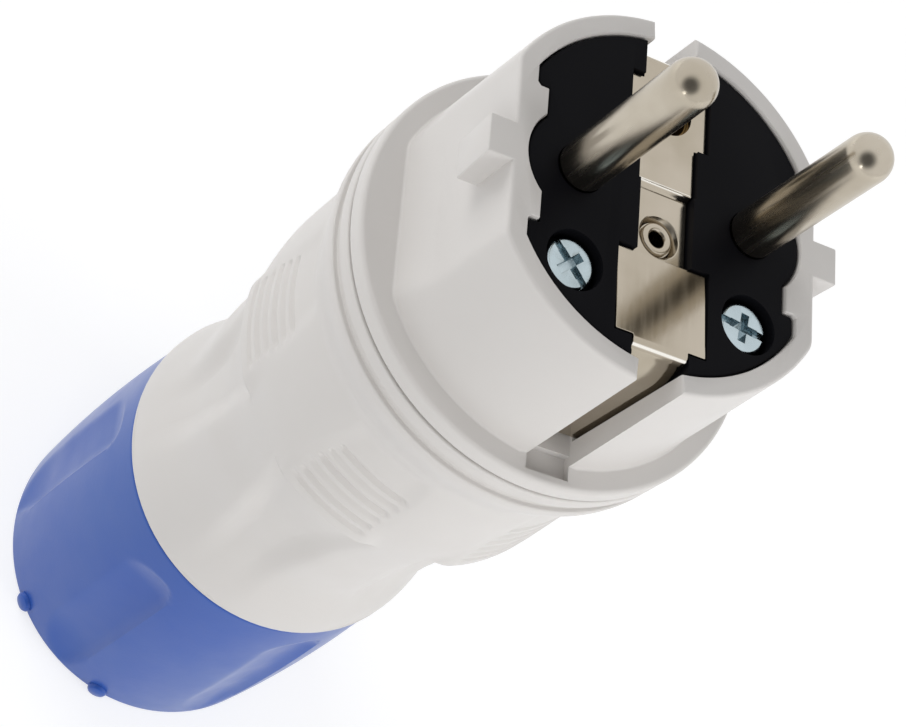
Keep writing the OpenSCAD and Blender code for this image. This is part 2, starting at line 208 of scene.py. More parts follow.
PAD_REAR = [(18.6, -47.42), (16.5, -60.0), (16.5, -64.0), (18.95, -76.0)]
PAD_HALF = [(11.0, -24.2), (11.5, -31.0), (12.5, -34.0), (14.5, -38.0), (16.5, -42.5), (18.0, -46.5),
    (18.0, -48.4), (14.5, -54.0), (11.5, -61.0), (10.0, -67.0), (9.0, -76.0)]
PAD_SIDE = [(4.0, -24.2), (3.2, -34.0), (2.6, -40.0), (3.4, -46.0), (4.0, -50.0), (5.0, -60.0), (5.5, -76.0)]


def eased(stations, z):
    """Radius at height z on a run that eases from station to station."""
    for (r0, z0), (r1, z1) in zip(stations, stations[1:]):
        if z >= z1:
            t = max(0.0, min(1.0, (z0 - z) / (z0 - z1)))
            return r0 + (r1 - r0) * t * t * (3 - 2 * t)
    return stations[-1][0]


def straight(stations, z):
    """Value at height z on straight lines from station to station."""
    for (r0, z0), (r1, z1) in zip(stations, stations[1:]):
        if z >= z1:
            return r0 + (r1 - r0) * min(1.0, max(0.0, (z0 - z) / (z0 - z1)))
    return stations[-1][0]


def arc_points(cx, cy, radius, start, end, steps):
    """Points of an arc about (cx, cy) between two angles in degrees."""
    turns = [math.radians(start + (end - start) * i / steps) for i in range(steps + 1)]
    return [(cx + radius * math.cos(turn), cy + radius * math.sin(turn)) for turn in turns]


def parts(start, end, count):
    return [start + (end - start) * i / count for i in range(count + 1)]


def spaced(start, end, step):
    return parts(start, end, max(1, round(abs(end - start) / step)))


def profile_mesh(name, rows, extra):
    """Points of a closed half section as a mesh, with one float attribute for each extra column."""
    mesh = bpy.data.meshes.new(name)
    mesh.from_pydata([(row[0] * MM, 0.0, row[1] * MM) for row in rows], [], [])
    for i, label in enumerate(extra):
        layer = mesh.attributes.new(label, "FLOAT", "POINT")
        layer.data.foreach_set("value", [row[2 + i] * MM for row in rows])
    return mesh


def new_shape_tree(name, inputs):
    """An empty Geometry Nodes tree with named inputs; returns the tree, its inputs and its output."""
    tree = bpy.data.node_groups.new(name, "GeometryNodeTree")
    tree.interface.new_socket("Geometry", in_out="INPUT", socket_type="NodeSocketGeometry")
    for label, kind in inputs.items():
        tree.interface.new_socket(label, in_out="INPUT", socket_type="NodeSocket" + kind)
    tree.interface.new_socket("Geometry", in_out="OUTPUT", socket_type="NodeSocketGeometry")
    given = tree.nodes.new("NodeGroupInput")
    result = tree.nodes.new("NodeGroupOutput")
    return tree, given.outputs, result.inputs[0]


def finish_tree(tree, geometry, material, out):
    real = add_node(tree, "GeometryNodeRealizeInstances", {"Geometry": geometry})
    coat = add_node(tree, "GeometryNodeSetMaterial", {"Geometry": real.outputs[0], "Material": material})
    tree.links.new(coat.outputs[0], out)


def plain_mesh(holder):
    """The finished shape of an object with its modifiers, as a plain mesh; the object goes."""
    bpy.context.view_layer.update()
    graph = bpy.context.evaluated_depsgraph_get()
    made = bpy.data.meshes.new_from_object(holder.evaluated_get(graph), depsgraph=graph)
    bpy.data.objects.remove(holder)
    return made


def linked(name, mesh):
    made = bpy.data.objects.new(name, mesh)
    bpy.context.scene.collection.objects.link(made)
    return made


def smoothed(mesh, sharp_angle):
    mesh.polygons.foreach_set("use_smooth", [True] * len(mesh.polygons))
    mesh.set_sharp_from_angle(angle=math.radians(sharp_angle))


def as_piece(name, mesh, sharp_angle=30.0):
    """A mesh as a linked object, smooth with its corners kept sharp."""
    mesh.name = name
    smoothed(mesh, sharp_angle)
    return linked(name, mesh)


def grown(name, mesh, tree, values):
    """Runs a tree on a mesh with its inputs set by name, and returns the result as a plain object."""
    holder = linked(name + "_base", mesh)
    modifier = holder.modifiers.new("shape", "NODES")
    modifier.node_group = tree
    for item in tree.interface.items_tree:
        if item.in_out == "INPUT" and item.name in values:
            modifier[item.identifier] = values[item.name]
    return as_piece(name, plain_mesh(holder))


def fit(piece, body, slot_name, *replaced):
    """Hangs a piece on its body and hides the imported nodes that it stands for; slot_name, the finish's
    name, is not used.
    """
    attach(piece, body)
    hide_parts(*replaced)


def grid_rows(tree, given, columns, rows):
    """A sheet of columns by rows whose points look up their row in the given half section."""
    sheet = add_node(tree, "GeometryNodeMeshGrid", {"Vertices X": columns, "Vertices Y": rows})
    index = add_node(tree, "GeometryNodeInputIndex").outputs[0]
    column = calc(tree, "FLOOR", calc(tree, "DIVIDE", calc(tree, "ADD", index, 0.5), rows))
    row = calc(tree, "SUBTRACT", index, calc(tree, "MULTIPLY", column, rows))
    place = add_node(tree, "GeometryNodeSampleIndex", {"Geometry": given["Geometry"],
        "Value": add_node(tree, "GeometryNodeInputPosition").outputs[0], "Index": row},
        data_type="FLOAT_VECTOR", domain="POINT")
    split = add_node(tree, "ShaderNodeSeparateXYZ", {0: place.outputs[0]})
    return sheet, column, row, split.outputs[0], split.outputs[2]


def row_value(tree, given, row, label):
    named = add_node(tree, "GeometryNodeInputNamedAttribute", {"Name": label}, data_type="FLOAT")
    sample = add_node(tree, "GeometryNodeSampleIndex", {"Geometry": given["Geometry"],
        "Value": named.outputs[0], "Index": row}, data_type="FLOAT", domain="POINT")
    return sample.outputs[0]


def helix_sink(tree, angle, height, depth, pitch):
    """Depth of a right-hand thread groove at an angle in degrees and a height."""
    turns = calc(tree, "SUBTRACT", calc(tree, "DIVIDE", height, pitch), calc(tree, "DIVIDE", angle, 360.0))
    saw = calc(tree, "ABSOLUTE", calc(tree, "SUBTRACT", calc(tree, "FLOORED_MODULO", turns, 1.0), 0.5))
    slope = calc(tree, "DIVIDE", calc(tree, "SUBTRACT", saw, 0.14), 0.20, clamp=True)
    return calc(tree, "MULTIPLY", slope, depth)


def wrap_round(tree, sheet, radius, angle, height):
    """Bends the sheet round the axis and closes it."""
    turn = calc(tree, "RADIANS", angle)
    x = calc(tree, "MULTIPLY", radius, calc(tree, "COSINE", turn))
    y = calc(tree, "MULTIPLY", radius, calc(tree, "SINE", turn))
    spot = add_node(tree, "ShaderNodeCombineXYZ", {0: x, 1: y, 2: height})
    placed = add_node(tree, "GeometryNodeSetPosition", {"Geometry": sheet.outputs["Mesh"],
        "Position": spot.outputs[0]})
    closed = add_node(tree, "GeometryNodeMergeByDistance", {"Geometry": placed.outputs[0], "Distance": 1e-6})
    return closed.outputs[0]


def handle_rows():
    """Closed half section of the handle, in mm and degrees: radius and height on a ridge, radius on a
    pad, depth of the grooves and of the thread, half width of the pad and of its side wall."""
    rows = []

    def plain(points, half=PAD_HALF[0][0], side=PAD_SIDE[0][0]):
        rows.extend([r, z, r, 0.0, 0.0, half, side] for r, z in points)

    # front mouth and flange ring
    plain([(18.8, RIM - 21.65), (20.95, RIM - 21.65), (21.0, RIM - 21.6), (21.0, RIM - 20.9),
           (21.05, RIM - 20.85)])
    plain(arc_points(FLANGE_RADIUS - 0.25, RIM - 21.1, 0.25, 90, 0, 4))
    plain(arc_points(FLANGE_RADIUS - 0.2, RIM - 22.3, 0.2, 0, -90, 4))
    plain([(21.65, RIM - 22.55), (21.55, RIM - 22.65), (21.55, RIM - 23.75), (21.65, RIM - 23.85)])
    plain(arc_points(FLANGE_RADIUS - 0.25, RIM - 24.15, 0.25, 100, 12, 4))
    # outer skin: pads with their grooves, then the scoops behind them
    lip_heights = [-46.15, -46.4, -46.65, -46.85, -47.0, -47.12, -47.22, -47.3, -47.35, -47.38]
    for z in spaced(-24.3, -34.6, 0.45) + spaced(-34.6, -45.9, 0.235)[1:] + lip_heights:
        ridge = eased(RIDGE_STATIONS, z)
        pad = straight(PAD_LIP, z) if z < PAD_LIP[0][1] else eased(PAD_FRONT, z)
        if z > PAD_SUNK_TO:
            pad = min(pad, ridge)
        groove = 0.0
        for k in range(GROOVE_COUNT):
            off = abs(z - (GROOVE_FIRST - k * GROOVE_PITCH)) / GROOVE_REACH
            if off < 1:
                groove = GROOVE_DEPTH * (0.5 + 0.5 * math.cos(math.pi * off)) ** 0.8
        rows.append([ridge, RIM + z, pad, groove, 0.0, straight(PAD_HALF, z), straight(PAD_SIDE, z)])
    for z in [-47.42, -47.5, -47.7] + spaced(-48.1, -76.0, 0.75):
        ridge = eased(RIDGE_STATIONS, z)
        pad = min(ridge, eased(PAD_REAR, z))
        rows.append([ridge, RIM + z, pad, 0.0, 0.0, straight(PAD_HALF, z), straight(PAD_SIDE, z)])
    # collar end, spigot with its thread and end face
    last = PAD_HALF[-1][0], PAD_SIDE[-1][0]
    plain([(COLLAR_RADIUS, COLLAR_END + 0.52)], *last)
    plain(arc_points(COLLAR_RADIUS - 0.45, COLLAR_END + 0.45, 0.45, 0, -90, 5), *last)
    plain([(16.7, COLLAR_END), (16.45, COLLAR_END - 0.05)], *last)
    for z in spaced(COLLAR_END - 0.3, SPIGOT_END + 0.9, 0.26):
        deep = SPIGOT_DEPTH * min(1.0, (COLLAR_END - 0.3 - z) / 1.2)
        rows.append([SPIGOT_RADIUS, z, SPIGOT_RADIUS, 0.0, deep, *last])
    low = SPIGOT_END
    plain([(16.2, low + 0.45), (15.8, low + 0.05), (15.7, low), (12.75, low), (12.6, low + 0.15)], *last)
    # seal seat, cable way, wire chamber
    plain([(12.6, 32.5), (10.25, 32.5), (10.2, 32.55), (10.2, 34.5), (13.4, RIM - 72), (14.7, RIM - 64),
           (14.7, RIM - 54), (16.6, RIM - 46), (16.6, RIM - 24.05), (16.65, RIM - 24), (18.75, RIM - 24),
           (18.8, RIM - 23.95)], *last)
    return rows


def handle_tree(rows):
    tree, given, out = new_shape_tree("grip_handle", {"Pads": "Int", "Pad Turn": "Float",
        "Groove Half Angle": "Float", "Thread Pitch": "Float", "Material": "Material"})
    per_pad = PAD_COLUMNS + RIDGE_COLUMNS + 2 * EDGE_COLUMNS
    columns = calc(tree, "ADD", calc(tree, "MULTIPLY", given["Pads"], per_pad), 1)
    sheet, column, row, ridge, height = grid_rows(tree, given, columns, rows)
    period = calc(tree, "FLOOR", calc(tree, "DIVIDE", calc(tree, "ADD", column, 0.5), per_pad))
    step = calc(tree, "SUBTRACT", column, calc(tree, "MULTIPLY", period, per_pad))
    pitch = calc(tree, "DIVIDE", 360.0, given["Pads"])
    pad, groove, thread, half, side = (row_value(tree, given, row, label) for label in HANDLE_LAYERS)
    half = calc(tree, "DIVIDE", half, MM)
    side = calc(tree, "DIVIDE", side, MM)
    inner = calc(tree, "SUBTRACT", half, side)

    def passed(first, count):
        """How far the column has come through a stretch of columns, from 0 to 1."""
        return calc(tree, "DIVIDE", calc(tree, "SUBTRACT", step, first), count, clamp=True)

    def eased_over(share):
        ease = add_node(tree, "ShaderNodeMapRange", {"Value": share}, interpolation_type="SMOOTHSTEP")
        return ease.outputs[0]

    first_side = passed(PAD_COLUMNS, EDGE_COLUMNS)
    ridge_part = passed(PAD_COLUMNS + EDGE_COLUMNS, RIDGE_COLUMNS)
    last_side = passed(PAD_COLUMNS + EDGE_COLUMNS + RIDGE_COLUMNS, EDGE_COLUMNS)
    across = calc(tree, "SUBTRACT", calc(tree, "MULTIPLY", passed(0, PAD_COLUMNS), 2.0), 1.0)
    over_pad = calc(tree, "MULTIPLY", across, inner)
    side_part = calc(tree, "ADD", first_side, last_side)
    over_sides = calc(tree, "MULTIPLY", side_part, calc(tree, "MULTIPLY", side, 2.0))
    ridge_width = calc(tree, "SUBTRACT", pitch, calc(tree, "MULTIPLY", calc(tree, "ADD", half, side), 2.0))
    over_ridge = calc(tree, "MULTIPLY", ridge_part, ridge_width)
    local = calc(tree, "ADD", calc(tree, "ADD", over_pad, over_sides), over_ridge)
    start = calc(tree, "ADD", calc(tree, "MULTIPLY", period, pitch), given["Pad Turn"])
    angle = calc(tree, "ADD", start, local)
    up = calc(tree, "SUBTRACT", eased_over(first_side), eased_over(last_side))
    skin = add_node(tree, "ShaderNodeMix", {0: up, 2: pad, 3: ridge})
    reach = add_node(tree, "ShaderNodeMapRange", {"Value": calc(tree, "ABSOLUTE", local),
        "From Min": calc(tree, "SUBTRACT", given["Groove Half Angle"], 0.9),
        "From Max": calc(tree, "ADD", given["Groove Half Angle"], 0.9), "To Min": 1.0, "To Max": 0.0},
        interpolation_type="SMOOTHSTEP")
    sunk = calc(tree, "SUBTRACT", skin.outputs[0], calc(tree, "MULTIPLY", groove, reach.outputs[0]))
    radius = calc(tree, "SUBTRACT", sunk, helix_sink(tree, angle, height, thread, given["Thread Pitch"]))
    closed = wrap_round(tree, sheet, radius, angle, height)
    finish_tree(tree, closed, given["Material"], out)
    return tree


class Finish:
    """A material in the making: noise on the piece's own coordinates drives colour, gloss and relief."""

    def __init__(self, name):
        self.material = bpy.data.materials.new(name)
        self.material.use_nodes = True
        self.tree = self.material.node_tree
        self.shader = self.tree.nodes["Principled BSDF"]
        self.where = add_node(self.tree, "ShaderNodeTexCoord").outputs["Object"]

    def noise(self, scale, detail=2.0, roughness=0.5, where=None):
        return add_node(self.tree, "ShaderNodeTexNoise", {"Vector": where or self.where, "Scale": scale,
            "Detail": detail, "Roughness": roughness}).outputs["Fac"]

    def ranged(self, value, low, high, to_low=0.0, to_high=1.0):
        return add_node(self.tree, "ShaderNodeMapRange", {"Value": value, "From Min": low, "From Max": high,
            "To Min": to_low, "To Max": to_high}).outputs[0]

    def colour(self, value, low, high, first, second):
        paint = add_node(self.tree, "ShaderNodeMix", {0: self.ranged(value, low, high), 6: (*first, 1.0),
            7: (*second, 1.0)}, data_type="RGBA")
        self.tree.links.new(paint.outputs[2], self.shader.inputs["Base Color"])

    def gloss(self, value, low, high, rough_low, rough_high):
        level = self.ranged(value, low, high, rough_low, rough_high)
        self.tree.links.new(level, self.shader.inputs["Roughness"])

    def relief(self, value, depth, strength):
        bump = add_node(self.tree, "ShaderNodeBump", {"Height": value, "Distance": depth * MM,
            "Strength": strength})
        self.tree.links.new(bump.outputs[0], self.shader.inputs["Normal"])

    def set(self, **values):
        for label, value in values.items():
            self.shader.inputs[label.replace("_", " ")].default_value = value
        return self.material


def moulded_plastic(name, colour, tint, rough, grain, depth, **more):
    """Moulded plastic: a fine even grain, faint flow clouds in the colour and a slightly uneven gloss."""
    finish = Finish(name)
    finish.colour(finish.noise(45.0, 3.0), 0.3, 0.7, colour, tint)
    finish.gloss(finish.noise(260.0), 0.25, 0.75, rough - 0.05, rough + 0.05)
    finish.relief(finish.noise(grain, 2.0, 0.6), depth, 0.6)
    return finish.set(**more)


housing = moulded_plastic("housing_plastic", HOUSING_COLOUR, (0.672, 0.650, 0.630), 0.40, 2600.0, 0.012)
section = handle_rows()
section.append(section[0])
half_section = profile_mesh("handle_section", section, HANDLE_LAYERS)
handle = grown("grip_handle", half_section, handle_tree(len(section)),
    {"Pads": PAD_COUNT, "Pad Turn": PAD_TURN, "Groove Half Angle": GROOVE_HALF,
     "Thread Pitch": THREAD_PITCH * MM, "Material": housing})
fit(handle, "plug_body", "housing_plastic", "handle")

# ---------------------------------------------------------------------------------------------
# Gland nut: blue plastic, screwed onto the handle's spigot. Six shallow flutes give it grip,
# and small moulding nubs stand at its end edge. Its inner cone closes the clamp fingers.
# ---------------------------------------------------------------------------------------------
NUT_LENGTH = 34.5
NUT_RADIUS = 19.6
NUT_BULGE = 0.72
FLUTE_COUNT = 6
FLUTE_TURN = 175.2
FLUTE_DEPTH = 1.0
FLUTE_STEEP = 2.6
FLUTE_SOFT = 30.0
FLUTE_TOP = 26.5
FLUTE_END = 4.5
FLUTE_LOW = 9.0
FLUTE_FADE = 8.2
FLUTE_SOFT_EDGE, FLUTE_STEEP_EDGE = 0.25, 0.08
NUT_COLUMNS = 288
NUT_BORE = 16.65
NUT_THREAD_END = 14.1
NUB_TURNS = (211.5, 253.0, 31.5, 73.0)
NUB_HEIGHT = 1.3
NUB_SIDES = 24
NUT_BLUE = (0.014, 0.078, 0.385)


def nut_rows():
    """Closed half section of the nut: radius, height, flute share and thread depth, in mm."""
    rows = []

    def plain(points):
        rows.extend([r, z, 0.0, 0.0] for r, z in points)

    def barrel(z):
        return NUT_RADIUS - NUT_BULGE * ((z - 13.5) / 20.0) ** 2

    plain([(NUT_BORE + 0.35, NUT_LENGTH - 0.02), (NUT_BORE + 0.45, NUT_LENGTH)])
    edge = barrel(NUT_LENGTH - 0.4)
    plain(arc_points(edge - 0.35, NUT_LENGTH - 0.35, 0.35, 90, 5, 5))
    for z in spaced(NUT_LENGTH - 0.6, 32.0, 0.6) + spaced(32.0, 25.0, 0.25)[1:] + spaced(25.0, 1.0, 0.7)[1:]:
        rows.append([barrel(z), z, 1.0, 0.0])
    low = barrel(0.8)
    rows.extend([r, z, 1.0, 0.0] for r, z in arc_points(low - 0.8, 0.8, 0.8, 0, -80, 8))
    plain([(18.2, 0.0), (9.6, 0.0), (9.4, 0.05), (8.35, 1.05), (8.2, 1.3), (8.2, 5.7), (10.9, 5.7),
           (11.0, 5.75), (14.38, 13.65), (14.45, 13.7), (NUT_BORE - 0.1, 13.7), (NUT_BORE, 13.8)])
    for z in spaced(NUT_THREAD_END, NUT_LENGTH - 1.0, 0.26):
        deep = 0.6 * min(1.0, (z - NUT_THREAD_END) / 1.5)
        rows.append([NUT_BORE, z, 0.0, deep])
    plain([(NUT_BORE + 0.02, NUT_LENGTH - 0.45)])
    return rows


def nut_tree(rows):
    """The nut from its half section. Each flute is a scoop with one steep side and one soft side,
    and it fades out at both ends."""
    lengths = ("Flute Turn", "Flute Depth", "Steep Radius", "Soft Radius", "Flute Top", "Flute End",
        "Flute Low", "Flute Fade", "Thread Pitch")
    tree, given, out = new_shape_tree("gland_nut", {"Columns": "Int", "Flutes": "Int",
        **{label: "Float" for label in lengths}, "Material": "Material"})
    columns = calc(tree, "ADD", given["Columns"], 1)
    sheet, column, row, wall, height = grid_rows(tree, given, columns, rows)
    angle = calc(tree, "MULTIPLY", column, calc(tree, "DIVIDE", 360.0, given["Columns"]))
    pitch = calc(tree, "DIVIDE", 360.0, given["Flutes"])
    half = calc(tree, "MULTIPLY", pitch, 0.5)
    shifted = calc(tree, "ADD", calc(tree, "SUBTRACT", angle, given["Flute Turn"]), half)
    local = calc(tree, "SUBTRACT", calc(tree, "FLOORED_MODULO", shifted, pitch), half)
    turn = calc(tree, "RADIANS", local)
    steep = calc(tree, "GREATER_THAN", local, 0.0)
    radii = add_node(tree, "ShaderNodeMix", {0: steep, 2: given["Soft Radius"], 3: given["Steep Radius"]})
    curve = radii.outputs[0]
    above = calc(tree, "SUBTRACT", height, given["Flute Top"])
    over = calc(tree, "DIVIDE", above, given["Flute End"], clamp=True)
    below = calc(tree, "SUBTRACT", given["Flute Low"], height)
    under = calc(tree, "DIVIDE", below, given["Flute Fade"], clamp=True)
    faded = calc(tree, "ADD", calc(tree, "MULTIPLY", over, over), calc(tree, "MULTIPLY", under, under))
    outside = calc(tree, "GREATER_THAN", row_value(tree, given, row, "flute"), 0.0)
    deepest = calc(tree, "MULTIPLY", given["Flute Depth"], outside)
    depth = calc(tree, "MULTIPLY", deepest, calc(tree, "SUBTRACT", 1.0, faded))
    centre = calc(tree, "SUBTRACT", calc(tree, "ADD", wall, curve), depth)
    side = calc(tree, "MULTIPLY", centre, calc(tree, "SINE", turn))
    left = calc(tree, "SUBTRACT", calc(tree, "MULTIPLY", curve, curve), calc(tree, "MULTIPLY", side, side))
    reach = calc(tree, "SQRT", calc(tree, "MAXIMUM", left, 0.0))
    cut = calc(tree, "SUBTRACT", calc(tree, "MULTIPLY", centre, calc(tree, "COSINE", turn)), reach)
    scooped = calc(tree, "GREATER_THAN", depth, 0.0)
    hit = calc(tree, "MULTIPLY", calc(tree, "GREATER_THAN", left, 0.0), scooped)
    far = calc(tree, "ADD", wall, 1.0)
    flute = add_node(tree, "ShaderNodeMix", {0: hit, 2: far, 3: cut})
    blend = add_node(tree, "ShaderNodeMix", {0: steep, 2: FLUTE_SOFT_EDGE * MM, 3: FLUTE_STEEP_EDGE * MM})
    eased_in = calc(tree, "MULTIPLY", blend.outputs[0], calc(tree, "DIVIDE", depth, given["Flute Depth"]))
    fluted = calc(tree, "SMOOTH_MIN", wall, flute.outputs[0], eased_in)
    thread = row_value(tree, given, row, "thread")
    radius = calc(tree, "ADD", fluted, helix_sink(tree, angle, height, thread, given["Thread Pitch"]))
    closed = wrap_round(tree, sheet, radius, angle, height)
    finish_tree(tree, closed, given["Material"], out)
    return tree


def add_nubs(mesh):
    """Four small rounded lugs at the nut's end edge."""
    shape = bmesh.new()
    shape.from_mesh(mesh)
    blue_slot = shape.faces[:][0].material_index
    rings = [(1.25, 16.0), (1.25, 19.4), (1.2, 19.68), (1.02, 19.9), (0.7, 20.02), (0.0, 20.08)]
    for angle in NUB_TURNS:
        turn = Matrix.Rotation(math.radians(angle), 3, "Z")
        loops = []
        for radius, out in rings:
            around = [math.tau * i / NUB_SIDES for i in range(NUB_SIDES if radius else 1)]
            ring = [(out, radius * math.cos(a), NUB_HEIGHT + radius * math.sin(a)) for a in around]
            loops.append([shape.verts.new(turn @ Vector(p) * MM) for p in ring])
        made = [shape.faces.new(list(reversed(loops[0])))]
        for low, high in zip(loops, loops[1:]):
            for i in range(NUB_SIDES):
                j = (i + 1) % NUB_SIDES
                ends = (high[j], high[i]) if len(high) > 1 else (high[0],)
                made.append(shape.faces.new((low[i], low[j], *ends)))
        for face in made:
            face.material_index = blue_slot
    shape.to_mesh(mesh)
    shape.free()


blue = moulded_plastic("nut_plastic", NUT_BLUE, (0.030, 0.100, 0.390), 0.34, 1800.0, 0.010,
    Sheen_Weight=0.30, Sheen_Roughness=0.30)
section = nut_rows()
section.append(section[0])
half_section = profile_mesh("nut_section", section, ["flute", "thread"])
nut = grown("gland_nut_skin", half_section, nut_tree(len(section)),
    {"Columns": NUT_COLUMNS, "Flutes": FLUTE_COUNT, "Flute Turn": FLUTE_TURN, "Flute Depth": FLUTE_DEPTH * MM,
     "Steep Radius": FLUTE_STEEP * MM, "Soft Radius": FLUTE_SOFT * MM, "Flute Top": FLUTE_TOP * MM,
     "Flute End": FLUTE_END * MM, "Flute Low": FLUTE_LOW * MM, "Flute Fade": FLUTE_FADE * MM,
     "Thread Pitch": THREAD_PITCH * MM, "Material": blue})
add_nubs(nut.data)
smoothed(nut.data, 30.0)
fit(nut, "gland_nut", "nut_plastic", "gland_nut")

# ---------------------------------------------------------------------------------------------
# Head shell: a thin moulded sleeve with two flats, open earth slots top and bottom, a guide
# rib on each flat and a round flange behind. It is clamped between the insert and the handle.
# ---------------------------------------------------------------------------------------------
HEAD_LENGTH = 18.3
HEAD_RIM_RADIUS = 19.2
HEAD_ROOT_RADIUS = 19.7
FLAT_STATIONS = [(16.8, 0.0), (17.15, -12.3), (17.9, -18.3)]
FLAT_BLEND = 0.32
FOOT_FILLET = 0.28
RIM_ROUND = 0.45
SLOT_HALF = 2.35
RIB_HALF = 2.0
RIB_LENGTH = 6.0
RIB_REACH = 19.35
INSERT_RADIUS = 17.05
INSERT_SIDE = 14.55
STEP_SIDE = 13.35
STEP_HALF = 7.0
LOBE_RADIUS = 5.55
PIN_X = 9.5


def mesh_from(name, shape):
    """Turns a bmesh with outward faces into a mesh."""
    bmesh.ops.recalc_face_normals(shape, faces=shape.faces)
    mesh = bpy.data.meshes.new(name)
    shape.to_mesh(mesh)
    shape.free()
    return mesh


def lofted(name, loops):
    """A closed solid through loops of equal length, capped at both ends."""
    shape = bmesh.new()
    rings = [[shape.verts.new(Vector(p) * MM) for p in loop] for loop in loops]
    count = len(rings[0])
    for low, high in zip(rings, rings[1:]):
        for i in range(count):
            j = (i + 1) % count
            shape.faces.new((low[i], low[j], high[j], high[i]))
    shape.faces.new(list(reversed(rings[0])))
    shape.faces.new(rings[-1])
    return mesh_from(name, shape)


def turned(name, section, steps=128, centre=(0.0, 0.0)):
    """A solid of revolution; the half section is closed, or starts and ends on the axis."""
    shape = bmesh.new()
    rings = []
    for radius, z in section:
        count = steps if radius > 1e-6 else 1
        rings.append([shape.verts.new(Vector((centre[0] + radius * math.cos(math.tau * i / steps),
            centre[1] + radius * math.sin(math.tau * i / steps), z)) * MM) for i in range(count)])
    pairs = list(zip(rings, rings[1:]))
    if len(rings[0]) > 1:
        pairs.append((rings[-1], rings[0]))
    for low, high in pairs:
        for i in range(steps):
            j = (i + 1) % steps
            corners = [low[i % len(low)], low[j % len(low)], high[j % len(high)], high[i % len(high)]]
            corners = [c for k, c in enumerate(corners) if c not in corners[:k]]
            if len(corners) > 2:
                shape.faces.new(corners)
    return mesh_from(name, shape)


def block(low, high):
    """A plain box between two corners, for cutting."""
    shape = bmesh.new()
    bmesh.ops.create_cube(shape, size=1.0)
    for v in shape.verts:
        v.co = Vector([(low[k] + high[k]) / 2 + v.co[k] * (high[k] - low[k]) for k in range(3)]) * MM
    return mesh_from("block", shape)


def prism(name, outline, low, high, axis="Z", bevel=0.0):
    """A straight prism of an outline drawn across the Y or Z axis, its edges lightly broken."""
    place = {"Z": lambda a, b, c: (a, b, c), "Y": lambda a, b, c: (a, c, b)}[axis]
    shape = bmesh.new()
    bottom = [shape.verts.new(Vector(place(a, b, low)) * MM) for a, b in outline]
    top = [shape.verts.new(Vector(place(a, b, high)) * MM) for a, b in outline]
    for i in range(len(outline)):
        j = (i + 1) % len(outline)
        shape.faces.new((bottom[i], bottom[j], top[j], top[i]))
    shape.faces.new(list(reversed(bottom)))
    shape.faces.new(top)
    if bevel:
        bmesh.ops.bevel(shape, geom=list(shape.edges), offset=bevel * MM, segments=3, profile=0.5,
            affect="EDGES")
    return mesh_from(name, shape)


def combined(name, start, steps, bevel=0.0):
    """Adds or cuts meshes one after another with exact booleans, then breaks the edges."""
    base = linked(name + "_start", start)
    helpers = [linked(name + "_tool", mesh) for _, mesh in steps]
    for (operation, _), helper in zip(steps, helpers):
        modifier = base.modifiers.new("cut", "BOOLEAN")
        modifier.operation = operation
        modifier.object = helper
        modifier.solver = "EXACT"
    if bevel:
        modifier = base.modifiers.new("edges", "BEVEL")
        modifier.width = bevel * MM
        modifier.segments = 2
        modifier.limit_method = "ANGLE"
        modifier.angle_limit = math.radians(50.0)
    made = plain_mesh(base)
    for helper in helpers:
        bpy.data.objects.remove(helper)
    return made


def painted(mesh, material):
    mesh.materials.clear()
    mesh.materials.append(material)
    mesh.polygons.foreach_set("material_index", [0] * len(mesh.polygons))
    return mesh


def insert_half_outline(gap):
    """Right half of the insert's outline, bottom to top, widened by a gap: arc, side, step and lobe."""
    radius, side = INSERT_RADIUS + gap, INSERT_SIDE + gap
    step, half = STEP_SIDE + gap, STEP_HALF - gap
    lobe = LOBE_RADIUS + gap
    first = math.degrees(math.acos(SLOT_HALF / radius))
    corner = math.degrees(math.acos(side / radius))
    meet = math.degrees(math.acos((step - PIN_X) / lobe))
    points = arc_points(0, 0, radius, -first, -corner, 22)
    points += [(side, -half - 0.3), (side - 0.3, -half), (step + 0.1, -half), (step, -half + 0.1)]
    points += arc_points(PIN_X, 0, lobe, -meet, meet, 20)
    points += [(step, half - 0.1), (step + 0.1, half), (side - 0.3, half), (side, half + 0.3)]
    return points + arc_points(0, 0, radius, corner, first, 22)


def inset(loop, amounts):
    """Moves each point of a counter-clockwise loop inwards by its own amount."""
    moved = []
    for i, (x, y) in enumerate(loop):
        ahead = (Vector(loop[(i + 1) % len(loop)]) - Vector((x, y))).normalized()
        behind = (Vector((x, y)) - Vector(loop[i - 1])).normalized()
        inward = Vector((-(ahead.y + behind.y), ahead.x + behind.x)).normalized()
        reach = amounts[i] / max(0.6, inward.dot(Vector((-behind.y, behind.x))))
        moved.append((x + inward.x * reach, y + inward.y * reach))
    return moved


def sleeve_outside(z):
    """Right half of the sleeve's outer edge at a depth below the rim, top to bottom."""
    radius = HEAD_RIM_RADIUS - (HEAD_ROOT_RADIUS - HEAD_RIM_RADIUS) * z / HEAD_LENGTH
    flat = next(a[0] + (b[0] - a[0]) * (a[1] - z) / (a[1] - b[1])
        for a, b in zip(FLAT_STATIONS, FLAT_STATIONS[1:]) if z >= b[1] - 1e-6)
    first = math.degrees(math.asin(SLOT_HALF / radius))
    turn = math.degrees(math.asin(flat / radius))
    angles = parts(first, turn - 5, 24) + parts(turn - 5, turn + 5, 14)[1:] + parts(turn + 5, 90, 9)[1:]
    angles += [180 - a for a in reversed(angles[:-1])]
    points = []
    for a in angles:
        x, y = radius * math.sin(math.radians(a)), radius * math.cos(math.radians(a))
        share = max(0.0, min(1.0, 0.5 + 0.5 * (flat - x) / FLAT_BLEND))
        points.append((x * share + flat * (1 - share) - FLAT_BLEND * share * (1 - share), y))
    return points


